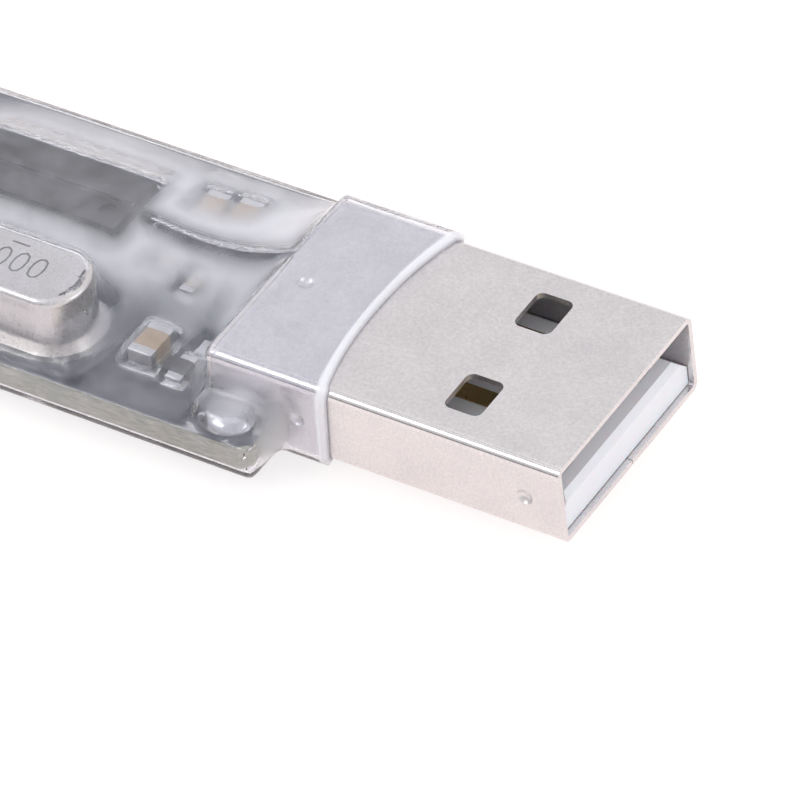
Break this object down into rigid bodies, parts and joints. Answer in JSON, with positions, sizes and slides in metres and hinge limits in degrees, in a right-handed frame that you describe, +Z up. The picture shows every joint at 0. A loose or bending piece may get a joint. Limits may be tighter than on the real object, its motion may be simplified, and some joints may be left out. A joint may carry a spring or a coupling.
{
  "type": "usb serial programmer stick",
  "caption": "Stick programmer: a sunk USB-A plug, a serial bridge board in a clear heat-shrink sleeve, and a right-angle pin header with a pull-off jumper cap.",
  "frame": {"origin": "middle of the bounding box in plan, on the surface that the underside lies on", "axes": "+X along the stick and out of the plug's mouth, +Z up from the component side, -Y towards the crystal's edge of the board"},
  "size_m": [0.0584, 0.0174, 0.0068],
  "materials": {
    "nickel_shell": "satin nickel plate on folded sheet, fine grain",
    "white_plastic": "white moulded plastic, smooth",
    "contact_metal": "gold flash on brass",
    "solder": "bright solder",
    "board_mask": "dark solder mask over glass-fibre laminate",
    "can_metal": "satin nickel-plated can",
    "tinned_leads": "tinned",
    "quartz": "clear quartz",
    "chip_epoxy": "fine matt moulding compound",
    "tan_ceramic": "tan ceramic",
    "pale_ceramic": "pale ceramic",
    "tinned_ends": "tinned end terminals",
    "resistor_black": "black glaze",
    "led_base": "white laminate",
    "led_lens": "clear epoxy lens",
    "header_plastic": "black moulded plastic",
    "pin_metal": "gold flash on brass",
    "jumper_plastic": "black moulded plastic",
    "clip_metal": "spring brass",
    "clear_sleeve": "clear heat-shrink film, slightly hazy"
  },
  "bodies": {
    "stick": {"plug_shell": "nickel_shell", "plug_insulator": "white_plastic", "contact_power": "contact_metal", "contact_data_minus": "contact_metal", "contact_data_plus": "contact_metal", "contact_ground": "contact_metal", "contact_solder": "solder", "plug_tab_solder": "solder", "crystal_solder": "solder", "header_solder": "solder", "circuit_board": "board_mask", "crystal_can": "can_metal", "crystal_base": "can_metal", "crystal_leads": "tinned_leads", "quartz_blank": "quartz", "chip_body": "chip_epoxy", "chip_leads": "tinned_leads", "large_capacitor_body": "tan_ceramic", "large_capacitor_terminals": "tinned_ends", "bypass_capacitor_bodies": "tan_ceramic", "bypass_capacitor_terminals": "tinned_ends", "load_capacitor_bodies": "pale_ceramic", "load_capacitor_terminals": "tinned_ends", "resistor_bodies": "resistor_black", "resistor_terminals": "tinned_ends", "led_bases": "led_base", "led_lenses": "led_lens", "led_terminals": "tinned_ends", "header_housing": "header_plastic", "header_pins": "pin_metal", "heat_shrink_sleeve": "clear_sleeve"},
    "jumper": {"jumper_housing": "jumper_plastic", "jumper_clip": "clip_metal"}
  },
  "joints": [
    {"name": "jumper_pull", "type": "slide", "parent": "stick", "child": "jumper", "axis": [-1, 0, 0], "range_m": [0, 0.006]}
  ]
}
